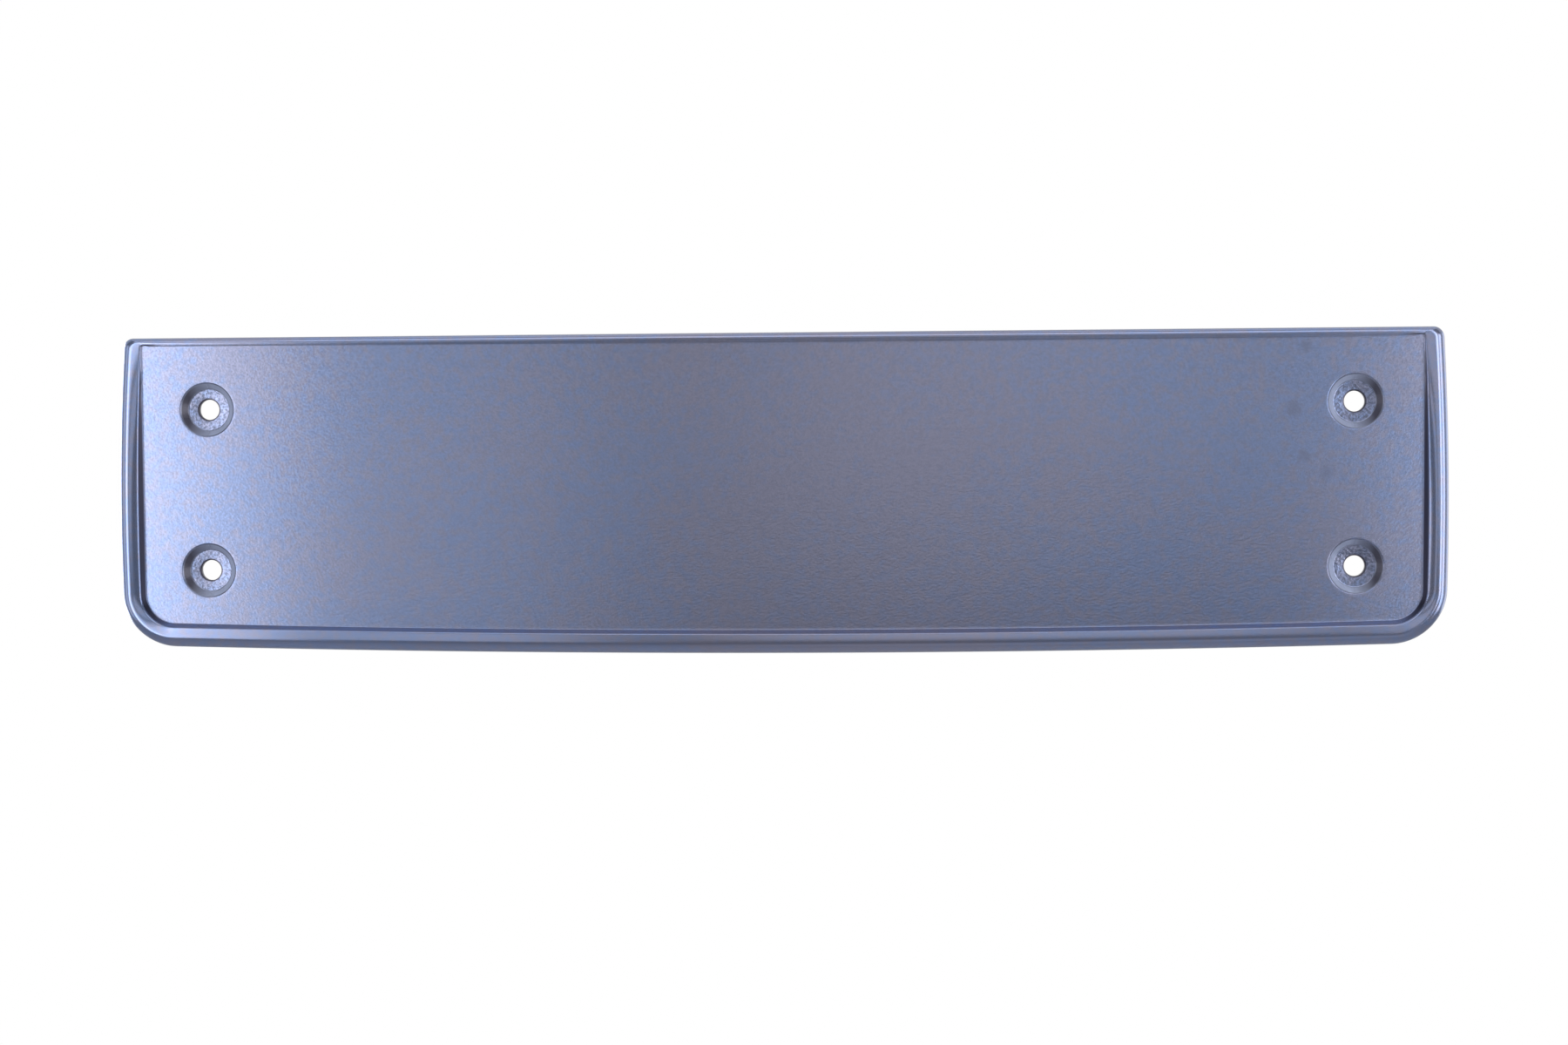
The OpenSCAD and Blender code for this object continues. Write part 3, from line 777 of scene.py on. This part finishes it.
# faint dull marks by the right-hand wells: place along X and Z, and radius
MARKS = (
    (214.6 * MM, 55.5 * MM, 2.6 * MM),
    (210 * MM, 30 * MM, 3.6 * MM),
    (214 * MM, 11.4 * MM, 2.6 * MM),
    (223 * MM, 4.3 * MM, 3 * MM),
)
# places of the colours among the Mix node's sockets
COLOUR_A, COLOUR_B, COLOUR_RESULT = 6, 7, 2


def new_material(name):
    material = bpy.data.materials.new(name)
    material.use_nodes = True
    material.node_tree.nodes.clear()
    return material, material.node_tree


def well_masks(tree, at):
    """How far a point is in a well, on the well's sloping wall, and in the painted shade on its outer side
    and in a ring round the hole.
    """
    side = add_node(tree, "ShaderNodeMath", {0: at["X"]}, operation="ABSOLUTE")
    up = add_node(tree, "ShaderNodeMath", {0: at["Z"]}, operation="ABSOLUTE")
    off_x = add_node(tree, "ShaderNodeMath", {0: side, 1: HOLE_DX / 2}, operation="SUBTRACT")
    off_z = add_node(tree, "ShaderNodeMath", {0: up, 1: HOLE_DZ / 2}, operation="SUBTRACT")
    offset = add_node(tree, "ShaderNodeCombineXYZ", {"X": off_x, "Z": off_z})
    off = add_node(tree, "ShaderNodeVectorMath", {0: offset}, operation="LENGTH").outputs["Value"]
    near = add_node(tree, "ShaderNodeMapRange", {
        "Value": off, "From Min": WELL_RADIUS + FINISH_EDGE, "From Max": WELL_RADIUS})
    sunk = add_node(tree, "ShaderNodeMapRange", {
        "Value": at["Y"], "From Min": FACE_Y + STEP_STARTS, "From Max": FACE_Y + STEP_ENDS})
    in_well = add_node(tree, "ShaderNodeMath", {0: near, 1: sunk}, operation="MULTIPLY")
    outside = add_node(tree, "ShaderNodeMapRange", {
        "Value": off, "From Min": WELL_FLOOR_RADIUS - FINISH_EDGE / 2,
        "From Max": WELL_FLOOR_RADIUS + FINISH_EDGE})
    # painted shade: a dark ring on the well's floor round the hole
    hole_ring_shade = add_node(tree, "ShaderNodeMapRange", {
        "Value": off, "From Min": HOLE_RADIUS + 2 * FINISH_EDGE, "From Max": HOLE_RADIUS + FINISH_EDGE})
    slope = add_node(tree, "ShaderNodeMath", {0: in_well, 1: outside}, operation="MULTIPLY")
    # painted shade on the side of the well towards the end of the part
    shade = add_node(tree, "ShaderNodeMapRange", {
        "Value": off_x, "From Min": SHADE_STARTS * WELL_RADIUS, "From Max": SHADE_ENDS * WELL_RADIUS})
    shade = add_node(tree, "ShaderNodeMath", {0: shade, 1: outside}, operation="MULTIPLY")
    shade = add_node(tree, "ShaderNodeMath", {0: shade, 1: hole_ring_shade}, operation="MAXIMUM")
    return in_well, slope, add_node(tree, "ShaderNodeMath", {0: in_well, 1: shade}, operation="MULTIPLY")


def mark_mask(tree, place, ragged):
    """Soft round marks whose edges the noise makes ragged."""
    marks = None
    for x, z, radius in MARKS:
        offset = add_node(tree, "ShaderNodeVectorMath", {0: place, 1: (x, FACE_Y, z)}, operation="SUBTRACT")
        off = add_node(tree, "ShaderNodeVectorMath", {0: offset}, operation="LENGTH").outputs["Value"]
        reach = add_node(tree, "ShaderNodeMath", {0: ragged, 1: 2 * radius}, operation="MULTIPLY")
        inner = add_node(tree, "ShaderNodeMath", {0: off, 1: reach}, operation="SUBTRACT")
        mark = add_node(tree, "ShaderNodeMapRange", {
            "Value": inner, "From Min": 0.4 * radius, "From Max": -0.8 * radius},
            interpolation_type="SMOOTHSTEP")
        if marks:
            mark = add_node(tree, "ShaderNodeMath", {0: mark, 1: marks}, operation="MAXIMUM")
        marks = mark
    return marks


def satin_slate_plastic():
    """Slate-blue ABS, moulded in one shot, with a strong satin sheen.

    The bead was polished in the tool. The face has a fine satin grain, so its highlights are wider.
    The wells were spark-eroded, which leaves them speckled and their sloping walls pale and flat.
    Painted shade darkens the recess walls at both ends, the outer side of each well and a ring round each
    hole.
    """
    material, tree = new_material("satin slate-blue moulded plastic")
    place = add_node(tree, "ShaderNodeTexCoord").outputs["Object"]
    at = add_node(tree, "ShaderNodeSeparateXYZ", {0: place}).outputs
    polish = add_node(tree, "ShaderNodeAttribute", attribute_name="polish").outputs["Fac"]
    unpolished = add_node(tree, "ShaderNodeMath", {0: 1, 1: polish}, operation="SUBTRACT")
    in_well, well_slope, well_shade = well_masks(tree, at)
    raised = add_node(tree, "ShaderNodeMapRange", {
        "Value": at["Y"], "From Min": FACE_Y - STEP_STARTS, "From Max": FACE_Y - STEP_ENDS})
    recess_wall = add_node(tree, "ShaderNodeMath", {0: raised, 1: unpolished}, operation="MULTIPLY")
    # painted shade on the recess walls near both ends, joined with the painted shade in the wells
    side = add_node(tree, "ShaderNodeMath", {0: at["X"]}, operation="ABSOLUTE")
    at_end = add_node(tree, "ShaderNodeMapRange", {
        "Value": side, "From Min": HALF_WIDTH - END_SHADE_STARTS, "From Max": HALF_WIDTH - END_SHADE_ENDS})
    painted_end_shade = add_node(tree, "ShaderNodeMath", {0: recess_wall, 1: at_end}, operation="MULTIPLY")
    painted_shade = add_node(tree, "ShaderNodeMath", {0: painted_end_shade, 1: well_shade}, operation="MAXIMUM")

    # the colour drifts towards violet: most of all near the middle, and in small clouds everywhere
    drift = add_node(tree, "ShaderNodeTexNoise", {"Vector": place, "Scale": 1 / DRIFT, "Detail": 1})
    cloud = add_node(tree, "ShaderNodeTexNoise", {"Vector": place, "Scale": 1 / CLOUD, "Detail": 2})
    violet = add_node(tree, "ShaderNodeMath", {0: drift, 1: 0.5, 2: cloud}, operation="MULTIPLY_ADD")
    violet = add_node(tree, "ShaderNodeMapRange", {
        "Value": violet, "From Min": 0.6, "From Max": 0.9, "To Max": 0.8})
    off_middle = add_node(tree, "ShaderNodeMath", {0: at["X"], 1: VIOLET_MIDDLE}, operation="SUBTRACT")
    off_middle = add_node(tree, "ShaderNodeMath", {0: off_middle}, operation="ABSOLUTE")
    middle = add_node(tree, "ShaderNodeMapRange", {
        "Value": off_middle, "From Min": VIOLET_REACH, "From Max": 0.3 * VIOLET_REACH, "To Max": 0.5},
        interpolation_type="SMOOTHSTEP")
    violet = add_node(tree, "ShaderNodeMath", {0: violet, 1: middle}, use_clamp=True)
    colour = add_node(tree, "ShaderNodeMix", {
        0: violet, COLOUR_A: linear(SLATE_BLUE), COLOUR_B: linear(SLATE_VIOLET)}, data_type="RGBA")
    grain = add_node(tree, "ShaderNodeTexNoise", {"Vector": place, "Scale": 1 / GRAIN, "Detail": 2})
    pits = add_node(tree, "ShaderNodeMapRange", {
        "Value": grain, "From Min": 0.4, "From Max": 0.65, "To Max": PIT_SHARE})
    pits = add_node(tree, "ShaderNodeMath", {0: pits, 1: unpolished}, operation="MULTIPLY")
    colour = add_node(tree, "ShaderNodeMix", {
        0: pits, COLOUR_A: colour.outputs[COLOUR_RESULT], COLOUR_B: linear(DARK_SPECK)}, data_type="RGBA")
    marks = mark_mask(tree, place, cloud)
    colour = add_node(tree, "ShaderNodeMix", {
        0: marks, COLOUR_A: colour.outputs[COLOUR_RESULT], COLOUR_B: linear(DULL_MARK)}, data_type="RGBA")
    speckle = add_node(tree, "ShaderNodeTexNoise", {"Vector": place, "Scale": 1 / SPECKLE, "Detail": 2})
    specks = add_node(tree, "ShaderNodeMapRange", {"Value": speckle, "From Min": 0.42, "From Max": 0.64})
    specks = add_node(tree, "ShaderNodeMath", {0: specks, 1: in_well}, operation="MULTIPLY")
    colour = add_node(tree, "ShaderNodeMix", {
        0: specks, COLOUR_A: colour.outputs[COLOUR_RESULT], COLOUR_B: linear(DARK_SPECK)}, data_type="RGBA")
    colour = add_node(tree, "ShaderNodeMix", {
        0: well_slope, COLOUR_A: colour.outputs[COLOUR_RESULT], COLOUR_B: linear(ERODED_WALL)},
        data_type="RGBA")
    # the painted shade is mixed in over all the rest
    colour = add_node(tree, "ShaderNodeMix", {
        0: painted_shade, COLOUR_A: colour.outputs[COLOUR_RESULT], COLOUR_B: linear(PAINTED_SHADE)}, data_type="RGBA")
    metallic = add_node(tree, "ShaderNodeMapRange", {
        "Value": well_slope, "To Min": METALLIC, "To Max": ERODED_METALLIC})

    roughness = add_node(tree, "ShaderNodeMapRange", {
        "Value": polish, "To Min": FACE_ROUGHNESS, "To Max": BEAD_ROUGHNESS})
    roughness = add_node(tree, "ShaderNodeMapRange", {
        "Value": painted_shade, "To Min": roughness, "To Max": WALL_ROUGHNESS})

    satin = add_node(tree, "ShaderNodeBump", {
        "Height": grain, "Strength": unpolished, "Distance": GRAIN_DEPTH})
    eroded = add_node(tree, "ShaderNodeBump", {
        "Height": speckle, "Strength": in_well, "Distance": SPECKLE_DEPTH, "Normal": satin})
    surface = add_node(tree, "ShaderNodeBsdfPrincipled", {
        "Base Color": colour.outputs[COLOUR_RESULT], "Metallic": metallic, "Roughness": roughness,
        "IOR": 1.53, "Normal": eroded})
    add_node(tree, "ShaderNodeOutputMaterial", {"Surface": surface})
    return material


# Studio
FLOOR_COLOUR = "#F0F1F3"
FLOOR_Z = -1
FLOOR_REACH = 6
# the backdrop's top, its distance behind the part and to each side, and where its sides end in front
BACKDROP_TOP = 4
BACKDROP_BACK = 2.2
BACKDROP_SIDE = 2.4
BACKDROP_FRONT = -0.2
# what the floor glows with for the camera alone, since the soft lamps are set for the part
FLOOR_LIFT = 0.4
WORLD_COLOUR = "#EEF0F4"
WORLD_STRENGTH = 0.32
# name, place, what it is aimed at, width and height, watts
SOFTBOXES = (
    ("left strip", (-0.43, -0.4, 0), (-0.43, 0, 0), (0.1, 0.42), 0.8),
    ("left strip's inner edge", (-0.345, -0.4, 0), (-0.345, 0, 0), (0.07, 0.42), 0.2),
    ("left strip's outer edge", (-0.53, -0.4, 0), (-0.53, 0, 0), (0.1, 0.42), 0.45),
    ("left fill", (-0.37, -1.2, 0.1), (-0.37, 0, 0.1), (0.24, 0.8), 0.75),
    ("left side light", (-0.62, -0.2, 0), (-0.27, 0, 0), (0.2, 0.5), 0.5),
    ("left rim light", (-0.7, 0.25, 0), (-0.27, 0, 0), (0.3, 0.5), 2.5),
    ("front softbox", (0.15, -1.3, 0.24), (0.15, 0, 0.24), (0.54, 0.72), 1.24),
    ("right strip", (0.475, -0.4, 0.08), (0.475, 0, 0.08), (0.2, 0.45), 1.4),
    ("right strip's inner edge", (0.35, -0.4, 0.1), (0.35, 0, 0.1), (0.08, 0.4), 0.06),
    ("right side light", (0.62, -0.2, 0), (0.27, 0, 0), (0.2, 0.5), 1.3),
    ("right rim light", (0.7, 0.25, 0), (0.27, 0, 0), (0.3, 0.5), 0.6),
    ("top front softbox", (0, -0.8, 0.9), (0, 0, 0), (1.6, 0.7), 7.5),
    ("top softbox", (0, 0.15, 1), (0, 0, 0), (1.6, 0.5), 2.2),
    ("ceiling softbox", (0, -0.2, 3), (0, -0.2, 0), (4, 3), 20),
    ("lower front softbox", (0.3, -0.8, -0.65), (0.2, 0, 0), (0.8, 0.4), 0.25),
)


def add_card(name, corners, material):
    """A flat sheet of the studio."""
    mesh = bpy.data.meshes.new(name)
    mesh.from_pydata(corners, [], [(0, 1, 2, 3)])
    mesh.materials.append(material)
    card = bpy.data.objects.new(name, mesh)
    bpy.context.scene.collection.objects.link(card)


def pale_floor_paper():
    """Matt uncoated paper: it takes the soft shadow and has no gloss."""
    paper, tree = new_material("pale floor paper")
    matt = add_node(tree, "ShaderNodeBsdfDiffuse", {"Color": linear(FLOOR_COLOUR)})
    path = add_node(tree, "ShaderNodeLightPath").outputs
    lift = add_node(tree, "ShaderNodeMath", {0: path["Is Camera Ray"], 1: FLOOR_LIFT}, operation="MULTIPLY")
    glow = add_node(tree, "ShaderNodeEmission", {"Color": linear(FLOOR_COLOUR), "Strength": lift})
    both = add_node(tree, "ShaderNodeAddShader", {0: matt, 1: glow})
    add_node(tree, "ShaderNodeOutputMaterial", {"Surface": both})
    return paper


def white_backdrop():
    """Matt white cloth, lit from behind: an even white to the camera and in reflections."""
    white, tree = new_material("white backdrop")
    # its glow reaches gloss by reflection alone, so it isn't also sampled as a lamp
    white.cycles.emission_sampling = "NONE"
    matt = add_node(tree, "ShaderNodeBsdfDiffuse", {"Color": linear(FLOOR_COLOUR)})
    glow = add_node(tree, "ShaderNodeEmission", {"Color": (1, 1, 1, 1), "Strength": 1})
    path = add_node(tree, "ShaderNodeLightPath").outputs
    seen = add_node(tree, "ShaderNodeMath", {0: path["Is Camera Ray"], 1: path["Is Glossy Ray"]})
    seen = add_node(tree, "ShaderNodeMath", {0: seen, 1: path["Is Transmission Ray"]}, use_clamp=True)
    mixed = add_node(tree, "ShaderNodeMixShader", {0: seen, 1: matt, 2: glow})
    add_node(tree, "ShaderNodeOutputMaterial", {"Surface": mixed})
    return white


def add_studio():
    """A pale floor well below the part, and a white backdrop behind it and at its sides."""
    reach = FLOOR_REACH
    square = [(-reach, -reach), (reach, -reach), (reach, reach), (-reach, reach)]
    add_card("floor", [(x, y, FLOOR_Z) for x, y in square], pale_floor_paper())
    white = white_backdrop()
    side, back, front = BACKDROP_SIDE, BACKDROP_BACK, BACKDROP_FRONT
    for name, start, end in (
            ("backdrop", (-side, back), (side, back)),
            ("backdrop_left", (-side, front), (-side, back)),
            ("backdrop_right", (side, back), (side, front))):
        add_card(name, [(*start, FLOOR_Z), (*end, FLOOR_Z), (*end, BACKDROP_TOP), (*start, BACKDROP_TOP)],
                 white)


def add_softbox(name, place, aim, size, watts):
    light = bpy.data.lights.new(name, "AREA")
    light.shape = "RECTANGLE"
    light.size, light.size_y = size
    light.energy = watts
    lamp = bpy.data.objects.new(name, light)
    lamp.location = place
    lamp.visible_camera = False
    lamp.rotation_euler = (Vector(aim) - Vector(place)).to_track_quat("-Z", "Y").to_euler()
    bpy.context.scene.collection.objects.link(lamp)


def add_camera():
    """The photograph's viewing angle: about one metre away, a little right of the middle."""
    yaw, pitch, roll = (math.radians(a) for a in (-3.310, 1.762, -0.381))
    distance, shift_x, shift_z = 1.0, -3.36 * MM, 14.87 * MM
    image_width, focal_px = 1800, 2780.8
    turn = Matrix.Rotation(roll, 3, "Y") @ Matrix.Rotation(pitch, 3, "X") @ Matrix.Rotation(yaw, 3, "Z")
    place = -(turn.transposed() @ Vector((shift_x, distance, shift_z)))
    data = bpy.data.cameras.new("camera")
    data.sensor_fit = "HORIZONTAL"
    data.sensor_width = 36
    data.lens = focal_px / image_width * data.sensor_width
    camera = bpy.data.objects.new("camera", data)
    right, ahead, up = turn[0], turn[1], turn[2]
    camera.matrix_world = Matrix.Translation(place) @ Matrix((right, up, -ahead)).transposed().to_4x4()
    bpy.context.scene.collection.objects.link(camera)
    bpy.context.scene.camera = camera


scene = bpy.context.scene
scene.view_settings.view_transform = "Standard"
world = bpy.data.worlds.new("studio room")
scene.world = world
world.use_nodes = True
world.node_tree.nodes["Background"].inputs["Color"].default_value = linear(WORLD_COLOUR)
world.node_tree.nodes["Background"].inputs["Strength"].default_value = WORLD_STRENGTH

plastic = satin_slate_plastic()
piece = moulding(plastic)
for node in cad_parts.values():
    node.data.materials.clear()
    node.data.materials.append(plastic)
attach(piece, "root")
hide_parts("plate_holder")

add_studio()
for softbox in SOFTBOXES:
    add_softbox(*softbox)
add_camera()
